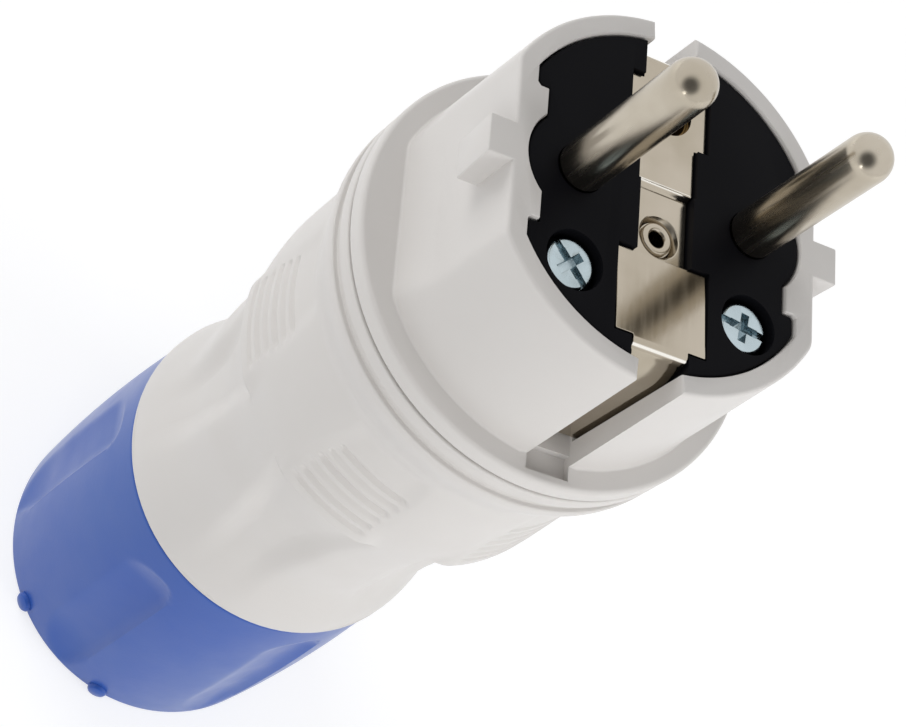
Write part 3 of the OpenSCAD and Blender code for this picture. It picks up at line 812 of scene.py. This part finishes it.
def sleeve_half():
    """The right half of the sleeve, between the two earth slots."""
    inner = insert_half_outline(0.15)
    count = len(sleeve_outside(0.0))
    loops = []

    def add(z, outside, out_by, in_by):
        amounts = [in_by] * len(inner) + [out_by] * count
        if out_by < 0:
            amounts[len(inner)] = amounts[-1] = 0.0
        loop = list(reversed(outside + inner))
        loops.append([(x, y, RIM + z) for x, y in inset(loop, amounts)])

    add(-HEAD_LENGTH - 0.4, sleeve_outside(-HEAD_LENGTH), -FOOT_FILLET, 0.0)
    for a in parts(0.0, math.pi / 2, 5):
        z = FOOT_FILLET * (1 - math.cos(a)) - HEAD_LENGTH
        add(z, sleeve_outside(z), -FOOT_FILLET * (1 - math.sin(a)), 0.0)
    for z in parts(-17.5, -12.9, 6) + [-12.5, -12.2, -11.9] + parts(-11.0, -RIM_ROUND, 9):
        add(z, sleeve_outside(z), 0.0, 0.0)
    rim_edge = sleeve_outside(-RIM_ROUND)
    for a in parts(0.0, math.pi / 2, 6)[1:]:
        add(-RIM_ROUND * (1 - math.sin(a)), rim_edge, RIM_ROUND * (1 - math.cos(a)), 0.14 * (1 - math.cos(a)))
    return lofted("sleeve", loops)


def mirrored(mesh):
    copy = mesh.copy()
    copy.transform(Matrix.Scale(-1, 4, (1, 0, 0)))
    copy.flip_normals()
    return copy


def flange_section():
    rows = [(15.6, RIM - 18.0), (17.4, RIM - 18.0), (17.5, RIM - 18.3)]
    rows += arc_points(FLANGE_RADIUS - 0.55, RIM - 18.85, 0.55, 90, 0, 8)
    rows += arc_points(FLANGE_RADIUS - 0.3, RIM - 20.2, 0.3, 0, -90, 5)
    return rows + [(18.6, RIM - 20.5), (18.6, RIM - 23.3), (18.4, RIM - 23.5), (15.6, RIM - 23.5)]


def guide_rib(side):
    """The rib on a flat that runs in the socket's groove, level with the rim."""
    corners = [(16.0, -0.01), (RIB_REACH, -0.01), (RIB_REACH - 0.25, -RIB_LENGTH), (16.0, -RIB_LENGTH)]
    outline = [(side * x, RIM + z) for x, z in corners]
    return prism("guide_rib", outline, -RIB_HALF, RIB_HALF, axis="Y", bevel=0.2)


half_sleeve = sleeve_half()
added = (half_sleeve, mirrored(half_sleeve), guide_rib(1), guide_rib(-1))
steps = [("UNION", mesh) for mesh in added]
for side in (-1, 1):
    for near, far, floor in ((18.5, 21.1, RIM - 19.2), (14.0, 18.6, RIM - HEAD_LENGTH)):
        near, far = sorted((side * near, side * far))
        steps.append(("DIFFERENCE", block((-SLOT_HALF, near, floor), (SLOT_HALF, far, RIM - 17.0))))
shell = combined("shell", turned("flange", flange_section(), 192), steps)
shell = as_piece("head_shell", painted(shell, housing), 28.0)
fit(shell, "plug_body", "housing_plastic", "front_shell")

# ---------------------------------------------------------------------------------------------
# Body seal: a thin rubber ring pinched between the head's flange and the handle. It is set
# back a little, so that only a fine line shows.
# ---------------------------------------------------------------------------------------------
SEAL_GREY = (0.52, 0.50, 0.48)


def soft_rubber(name, colour, dusty, rough):
    """Moulded rubber: dull, with a very fine grain and dusty clouds."""
    finish = Finish(name)
    finish.colour(finish.noise(180.0, 4.0), 0.4, 0.8, colour, dusty)
    finish.relief(finish.noise(4000.0), 0.02, 0.5)
    return finish.set(Roughness=rough)


ring = [(18.85, RIM - 21.6), (20.8, RIM - 21.6), (20.9, RIM - 21.5), (20.9, RIM - 20.82), (21.3, RIM - 20.82),
    (21.4, RIM - 20.74), (21.4, RIM - 20.58), (21.32, RIM - 20.51), (18.85, RIM - 20.51)]
grey_rubber = soft_rubber("seal_rubber", SEAL_GREY, (0.56, 0.54, 0.52), 0.7)
seal = as_piece("body_seal_ring", painted(turned("body_seal_ring", ring, 160), grey_rubber), 35.0)
fit(seal, "plug_body", "seal_rubber", "body_seal")

# ---------------------------------------------------------------------------------------------
# Contact insert: the near-black moulded block that fills the head. It carries the pins, the
# two earth pressings and the face screws, each in its own seat.
# ---------------------------------------------------------------------------------------------
INSERT_TOP = RIM - 0.3
INSERT_ROUND = 0.22
STRAP_TOP = RIM - 0.8
STRAP_LOW = RIM - 1.4
PLATE_TOP = RIM - 0.7
SHEET = 0.7
FOLD_Y = 15.9
EARTH_Y = 10.3
RIVET_Y = -3.2
SCREW_OFFSET = 9.5
TERMINAL_Z = RIM - 38
BLACK = (0.0040, 0.0040, 0.0052)


def cylinder(radius, low, high, centre=(0.0, 0.0), steps=96):
    return turned("cylinder", [(0.0, low), (radius, low), (radius, high), (0.0, high)], steps, centre)


def spun(mesh, degrees):
    mesh.transform(Matrix.Rotation(math.radians(degrees), 4, "Z"))
    return mesh


def insert_block():
    """The insert's body: its stepped outline with a rounded front edge."""
    right = insert_half_outline(0.0)
    outline = right + [(-x, y) for x, y in reversed(right)]
    loops = []
    edge = [(INSERT_TOP - INSERT_ROUND * (1 - math.sin(a)), INSERT_ROUND * (1 - math.cos(a)))
            for a in parts(0.0, math.pi / 2, 5)]
    for z, by in [(RIM - 18.0, 0.0)] + edge:
        loops.append([(x, y, z) for x, y in inset(outline, [by] * len(outline))])
    return lofted("insert_block", loops)


steps = [("UNION", cylinder(15.4, RIM - 26, RIM - 17, steps=128)),
    ("UNION", cylinder(4.2, RIM - 39, RIM - 25))]
for angle, reach in ((-150, 6.8), (-30, 6.8), (118, 10.5), (62, 10.5)):
    steps.append(("UNION", spun(block((3.4, -0.7, RIM - 39), (3.4 + reach, 0.7, RIM - 25)), angle)))
seats = [block((-3.05, 11.9, STRAP_TOP - SHEET - 0.05), (3.05, 16.4, RIM + 3)),
    block((-4.45, 6.75, STRAP_TOP - SHEET - 0.05), (4.45, 13.05, RIM + 3)),
    block((-3.2, 1.6, STRAP_TOP - SHEET - 0.05), (3.2, 9.6, RIM + 3)),
    block((-3.0, -8.0, STRAP_LOW - SHEET - 0.05), (3.0, 2.35, RIM + 3)),
    block((-5.0, -14.8, STRAP_LOW - 0.05), (5.0, -5.8, RIM + 3)),
    block((-3.1, -16.2, STRAP_LOW - 0.05), (3.1, -12.2, RIM + 3)),
    block((-3.05, FOLD_Y - SHEET - 0.05, RIM - 19), (3.05, FOLD_Y + 6, RIM + 9)),
    block((-3.05, -FOLD_Y - 6, RIM - 19), (3.05, -FOLD_Y + SHEET + 0.05, RIM + 9)),
    cylinder(2.65, RIM - 8, RIM + 2, (0.0, RIVET_Y)),
    cylinder(4.5, RIM - 60, RIM - 17.9, (0.0, EARTH_Y)), cylinder(4.1, RIM - 30, RIM - 3, (0.0, EARTH_Y)),
    cylinder(3.5, RIM - 4, RIM + 5, (0.0, EARTH_Y))]
for side in (-1, 1):
    pin, screw = (side * PIN_X, 0.0), (side * SCREW_OFFSET, -SCREW_OFFSET)
    seats += [cylinder(2.45, RIM - 60, RIM + 5, pin), cylinder(2.75, RIM - 61, RIM - 2.35, pin),
        cylinder(3.55, RIM - 62, RIM - 18.95, pin), cylinder(1.7, RIM - 60, RIM + 5, screw),
        cylinder(3.0, RIM - 2.5, RIM + 6, screw)]
steps += [("DIFFERENCE", seat) for seat in seats]
black = moulded_plastic("insert_plastic", BLACK, (0.0058, 0.0058, 0.0072), 0.42, 3800.0, 0.008, IOR=1.12)
insert = as_piece("contact_insert", painted(combined("insert", insert_block(), steps, 0.09), black))
fit(insert, "plug_body", "insert_plastic", "contact_carrier")

# ---------------------------------------------------------------------------------------------
# Contact pins: solid nickel-plated pins with round ends, undercut at the insert's face. The
# head behind the insert takes the wire and its clamp screw.
# ---------------------------------------------------------------------------------------------
PIN_RADIUS = 2.4
PIN_END = RIM + PIN_LENGTH
NICKEL = (0.540, 0.490, 0.410)
NICKEL_WORN = (0.430, 0.380, 0.300)


def plated(name, colour, worn, rough, stretch, wave):
    """Plated metal: drawn or rolled streaks in the gloss and a warm tone where the plate is thin."""
    finish = Finish(name)
    drawn = add_node(finish.tree, "ShaderNodeMapping", {"Vector": finish.where, "Scale": stretch}).outputs[0]
    finish.colour(finish.noise(140.0, 3.0), 0.4, 0.75, colour, worn)
    finish.gloss(finish.noise(1500.0, 3.0, where=drawn), 0.3, 0.7, rough - 0.04, rough + 0.05)
    finish.relief(finish.noise(420.0, where=drawn), wave, 0.5)
    return finish.set(Metallic=1.0)


def pin_section():
    """Half section of a pin from the middle of its rear end to the middle of its round end."""
    rows = [(0.0, TERMINAL_Z), (3.25, TERMINAL_Z)] + arc_points(3.25, TERMINAL_Z + 0.25, 0.25, -60, 0, 3)
    rows += arc_points(3.25, RIM - 19.25, 0.25, 0, 90, 4)
    rows += [(2.75, RIM - 19.0), (2.7, RIM - 18.95), (2.7, RIM - 2.5), (2.6, RIM - 2.4), (2.2, RIM - 2.4)]
    rows += [(2.2, RIM - 0.25), (2.22, RIM - 0.1), (2.34, RIM - 0.1), (PIN_RADIUS, RIM - 0.02)]
    rows += [(PIN_RADIUS, RIM + z) for z in parts(0.6, 16.0, 12)]
    return rows + arc_points(0.0, PIN_END - PIN_RADIUS, PIN_RADIUS, 0, 84, 20) + [(0.0, PIN_END)]


def sideways(mesh, side, height):
    """Turns a cylinder that stands on the origin so that it points along X from the pin's line."""
    place = Matrix.Translation(Vector((side * PIN_X, 0.0, height)) * MM)
    mesh.transform(place @ Matrix.Rotation(side * math.pi / 2, 4, "Y"))
    return mesh


nickel = plated("nickel_pins", NICKEL, NICKEL_WORN, 0.23, (1.0, 1.0, 0.05), 0.014)
for side, name, node in ((-1, "contact_pin_left", "live_pin"), (1, "contact_pin_right", "neutral_pin")):
    steps = [("DIFFERENCE", cylinder(1.7, TERMINAL_Z - 1, TERMINAL_Z + 11, (side * PIN_X, 0.0), 48)),
        ("DIFFERENCE", sideways(cylinder(1.45, 0.0, 6.0, steps=40), side, TERMINAL_Z + 5))]
    body = combined(name, turned(name, pin_section(), 96, (side * PIN_X, 0.0)), steps)
    fit(as_piece(name, painted(body, nickel)), "plug_body", "nickel_pins", node)

# ---------------------------------------------------------------------------------------------
# Earth pressings: two strips of nickel-plated sheet, cut flat, pressed and folded down into
# the side slots. The upper one has the earth-pin hole and a dimple for the rivet.
# ---------------------------------------------------------------------------------------------
FOLD_RADIUS = 0.95
FOLD_START = FOLD_Y - FOLD_RADIUS
BLANK_END = FOLD_START + FOLD_RADIUS * math.pi / 2
FOLD_CUTS = 9
STRIP_END = RIM - 17.9
STRIP_BOW = 0.75
STRIP_BOW_RUN = 4.0
STEP_Y = 1.27
STEP_RUN = 0.66
STEP_CUTS = 6
PLATE_START = 5.95
PLATE_RISE = 0.45
SHEET_NICKEL = (0.510, 0.455, 0.375)
# pale colour painted into the sheet along its bend crests as a painted highlight
BEND_HIGHLIGHT_NICKEL = (0.93, 0.90, 0.84)


def blank(name, top, outline, cuts, adds=()):
    """A flat sheet blank with its holes, lying under its top face, edges lightly broken."""
    steps = [("UNION", a) for a in adds] + [("DIFFERENCE", c) for c in cuts]
    return combined(name, prism(name, outline, top - SHEET, top), steps, 0.07)


def folded(mesh, top, step=0.0, rise=0.0):
    """Bends a blank: a small step across it at one place or a slight rise towards the fold, and a
    fold at its far end that lets the strip spring outwards a little on its way down the side."""
    shape = bmesh.new()
    shape.from_mesh(mesh)
    lines = [FOLD_START - 0.2] + parts(FOLD_START, BLANK_END, FOLD_CUTS)
    lines += parts(BLANK_END, BLANK_END + STRIP_BOW_RUN, 8)[1:]
    if step:
        lines += [STEP_Y - 0.2, STEP_Y + STEP_RUN + 0.2] + parts(STEP_Y, STEP_Y + STEP_RUN, STEP_CUTS)
    for y in lines:
        bmesh.ops.bisect_plane(shape, geom=shape.verts[:] + shape.edges[:] + shape.faces[:], dist=1e-8,
            plane_co=Vector((0, y, 0)) * MM, plane_no=(0, 1, 0))
    for v in shape.verts:
        x, y, z = v.co / MM
        deep = top - z
        share = min(1.0, max(0.0, (STEP_Y + STEP_RUN - y) / STEP_RUN))
        deep += step * share * share * (3 - 2 * share)
        lift = rise * min(1.0, max(0.0, (y - PLATE_START) / (FOLD_START - PLATE_START)))
        if y > FOLD_START:
            turn = min(math.pi / 2, (y - FOLD_START) / FOLD_RADIUS)
            down = max(0.0, y - BLANK_END)
            out = math.sin(math.pi / 2 * min(1.0, down / STRIP_BOW_RUN)) * STRIP_BOW
            y = FOLD_START + (FOLD_RADIUS - deep) * math.sin(turn) + out
            deep = FOLD_RADIUS - (FOLD_RADIUS - deep) * math.cos(turn) + down
        v.co = Vector((x, y, top - deep + lift)) * MM
    bmesh.ops.recalc_face_normals(shape, faces=shape.faces)
    shape.to_mesh(mesh)
    shape.free()
    return mesh


def painted_bend_highlight(material, crests):
    """Paints a pale highlight into the plate's colour along the crests of its bends, each given as a line
    across at (y, z).
    """
    tree = material.node_tree
    shader = tree.nodes["Principled BSDF"]
    where = add_node(tree, "ShaderNodeTexCoord").outputs["Object"]
    across = add_node(tree, "ShaderNodeVectorMath", {0: where, 1: (0.0, 1.0, 1.0)}, operation="MULTIPLY")
    highlight_share = 0.0
    for y, z in crests:
        away = add_node(tree, "ShaderNodeVectorMath", {0: across.outputs[0], 1: (0.0, y * MM, z * MM)},
            operation="DISTANCE")
        line = add_node(tree, "ShaderNodeMapRange", {"Value": away.outputs["Value"], "From Min": 0.07 * MM,
            "From Max": 0.22 * MM, "To Min": 1.0, "To Max": 0.0}, interpolation_type="SMOOTHSTEP")
        highlight_share = calc(tree, "MAXIMUM", highlight_share, line.outputs["Result"])
    plain = shader.inputs["Base Color"].links[0].from_socket
    # painted highlight: the pale colour is mixed into the sheet's base colour along each crest line
    paint = add_node(tree, "ShaderNodeMix", {0: highlight_share, 6: plain, 7: (*BEND_HIGHLIGHT_NICKEL, 1.0)}, data_type="RGBA")
    tree.links.new(paint.outputs[2], shader.inputs["Base Color"])


def rounded(points, radius, count=5):
    """An outline with its convex and concave corners rounded."""
    made = []
    for i, p in enumerate(points):
        p = Vector(p)
        back, ahead = Vector(points[i - 1]) - p, Vector(points[(i + 1) % len(points)]) - p
        a, b = p + back.normalized() * radius, p + ahead.normalized() * radius
        for k in range(count + 1):
            t = k / count
            made.append(tuple(a * (1 - t) ** 2 + p * (2 * t * (1 - t)) + b * t * t))
    return made


def both_edges(right):
    """A whole outline from its right edge, read from the near end to the far end."""
    return [(-right[0][0], right[0][1])] + right + [(-x, y) for x, y in reversed(right[1:])]


end = BLANK_END + STRAP_TOP - FOLD_RADIUS - STRIP_END
right_edge = [(2.85, -7.6), (2.85, 1.6), (3.05, 1.9), (3.05, 6.9), (4.3, 6.9), (4.3, 12.9), (2.9, 12.9),
    (2.9, end)]
dimple = turned("dimple", [(0.0, STRAP_TOP - 0.75), (1.75, STRAP_TOP - 0.75), (1.8, STRAP_TOP - 0.7),
    (2.15, STRAP_TOP - 0.06), (2.28, STRAP_TOP + 0.02), (2.28, STRAP_TOP + 0.4), (0.0, STRAP_TOP + 0.4)], 72,
    (0.0, RIVET_Y))
earth_hole = cylinder(2.6, RIM - 4, RIM + 2, (0.0, EARTH_Y), 72)
rivet_hole = cylinder(1.2, RIM - 6, RIM + 2, (0.0, RIVET_Y), 40)
dimple_back = cylinder(2.5, STRAP_TOP - 1.35, STRAP_TOP - 0.1, (0.0, RIVET_Y), 72)
upper = blank("earth_strap", STRAP_TOP, rounded(both_edges(right_edge), 0.12),
    [earth_hole, dimple, rivet_hole], [dimple_back])
upper = folded(upper, STRAP_TOP, step=STRAP_TOP - STRAP_LOW)
sheet_nickel = plated("nickel_sheet", SHEET_NICKEL, NICKEL_WORN, 0.15, (1.0, 0.06, 1.0), 0.012)
crest_y, crest_down = FOLD_Y - FOLD_RADIUS * 0.36, FOLD_RADIUS * 0.23
# painted highlight lines along the fold crests and the step crest of the sheets
painted_bend_highlight(sheet_nickel, [(crest_y, STRAP_TOP - crest_down), (STEP_Y + 0.58, STRAP_TOP - 0.02),
    (-crest_y, PLATE_TOP + PLATE_RISE - crest_down)])
upper = as_piece("earth_strap_top", painted(upper, sheet_nickel), 20.0)
fit(upper, "plug_body", "nickel_sheet", "earth_strap_upper")

end = BLANK_END + PLATE_TOP + PLATE_RISE - FOLD_RADIUS - STRIP_END
right_edge = [(4.85, PLATE_START), (4.85, 14.65), (2.95, 14.65), (2.95, end)]
lower = blank("earth_plate", PLATE_TOP, rounded(both_edges(right_edge), 0.15), [])
lower = spun(folded(lower, PLATE_TOP, rise=PLATE_RISE), 180)
lower = as_piece("earth_strap_bottom", painted(lower, sheet_nickel), 20.0)
fit(lower, "plug_body", "nickel_sheet", "earth_strip_lower")

# ---------------------------------------------------------------------------------------------
# Earth rivet: a small tube rivet whose front end is rolled over in the strap's dimple. It
# fixes the strap to the insert.
# ---------------------------------------------------------------------------------------------
roll = arc_points(1.4, STRAP_LOW - 0.5, 0.24, -90, 90, 9)
roll += arc_points(1.15, STRAP_LOW - 0.61, 0.35, 95, 180, 7)
tube = [(0.8, RIM - 7.6), (1.6, RIM - 7.6), (1.6, RIM - 7.2), (1.15, RIM - 7.0), (1.15, STRAP_LOW - 0.74)]
rivet = turned("earth_rivet_ring", tube + roll, 72, (0.0, RIVET_Y))
fit(as_piece("earth_rivet_ring", painted(rivet, sheet_nickel)), "plug_body", "nickel_sheet", "earth_rivet")

# ---------------------------------------------------------------------------------------------
# Face screws: two equal zinc-plated pan head screws with a combined slot and cross recess.
# They clamp the insert to the threaded inserts deep in the handle.
# ---------------------------------------------------------------------------------------------
SCREW_TURNS = (132.0, -8.0)
ZINC = (0.500, 0.590, 0.630)


def screw_shape():
    """One screw with its axis on Z; heights are those of the fitted screw."""
    head = arc_points(2.2, RIM - 1.35, 0.3, 0, 90, 6)
    shank = [(0.0, RIM - 35.0), (1.2, RIM - 35.0), (1.5, RIM - 34.5), (1.5, RIM - 2.45), (2.42, RIM - 2.45),
        (2.5, RIM - 2.35)]
    body = turned("face_screw", shank + head + [(0.0, RIM - 1.05)], 64)
    cuts = [block((-3.0, -0.36, RIM - 1.75), (3.0, 0.36, RIM)),
        block((-1.5, -0.42, RIM - 2.2), (1.5, 0.42, RIM)), block((-0.42, -1.5, RIM - 2.2), (0.42, 1.5, RIM))]
    return combined("face_screw", body, [("DIFFERENCE", c) for c in cuts], 0.05)


def screw_tree():
    """Sets one screw at each point, turned by the point's own angle."""
    tree, given, out = new_shape_tree("face_screws", {"Screw": "Object", "Material": "Material"})
    source = add_node(tree, "GeometryNodeObjectInfo", {"Object": given["Screw"]})
    turn = add_node(tree, "GeometryNodeInputNamedAttribute", {"Name": "turn"}, data_type="FLOAT")
    twist = add_node(tree, "ShaderNodeCombineXYZ", {"Z": calc(tree, "RADIANS", turn.outputs["Attribute"])})
    rotation = add_node(tree, "FunctionNodeEulerToRotation", {"Euler": twist.outputs[0]})
    placed = add_node(tree, "GeometryNodeInstanceOnPoints", {"Points": given["Geometry"],
        "Instance": source.outputs["Geometry"], "Rotation": rotation.outputs[0]})
    finish_tree(tree, placed.outputs[0], given["Material"], out)
    return tree


zinc = plated("zinc_screws", ZINC, (0.36, 0.43, 0.45), 0.24, (1.0, 1.0, 1.0), 0.030)
places = bpy.data.meshes.new("screw_places")
places.from_pydata([Vector((side * SCREW_OFFSET, -SCREW_OFFSET, 0.0)) * MM for side in (-1, 1)], [], [])
places.attributes.new("turn", "FLOAT", "POINT").data.foreach_set("value", SCREW_TURNS)
one_screw = linked("one_screw", screw_shape())
screws = grown("face_screw_pair", places, screw_tree(), {"Screw": one_screw, "Material": zinc})
bpy.data.objects.remove(one_screw)
fit(screws, "plug_body", "zinc_screws", "face_screws")

# ---------------------------------------------------------------------------------------------
# Pieces inside: terminals, sockets, inserts, seal, washer, clamp cage and thrust ring. Their
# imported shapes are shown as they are, and each gets the finish of what it is made of.
# ---------------------------------------------------------------------------------------------
BRASS = (0.330, 0.225, 0.095)
STEEL = (0.480, 0.480, 0.490)
GLAND_BLACK = (0.022, 0.022, 0.024)
WASHER_WHITE = (0.560, 0.545, 0.520)


def finished(name, material):
    """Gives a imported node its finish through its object's own material slots."""
    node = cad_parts[name]
    for one in node.material_slots:
        one.link = "OBJECT"
        one.material = material


brass = plated("contact_brass", BRASS, (0.230, 0.150, 0.060), 0.38, (1.0, 1.0, 0.08), 0.008)
spring_steel = plated("spring_steel", STEEL, (0.38, 0.36, 0.34), 0.26, (1.0, 1.0, 0.08), 0.006)
black_rubber = soft_rubber("gland_rubber", GLAND_BLACK, (0.036, 0.036, 0.038), 0.62)
white_plastic = moulded_plastic("inner_plastic", WASHER_WHITE, (0.580, 0.565, 0.545), 0.42, 3000.0, 0.010)
for name in ("earth_socket", "earth_terminal", "post_inserts"):
    finished(name, brass)
finished("socket_spring", spring_steel)
finished("terminal_screws", zinc)
finished("gland_seal", black_rubber)
for name in ("seal_washer", "clamp_cage", "thrust_ring"):
    finished(name, white_plastic)
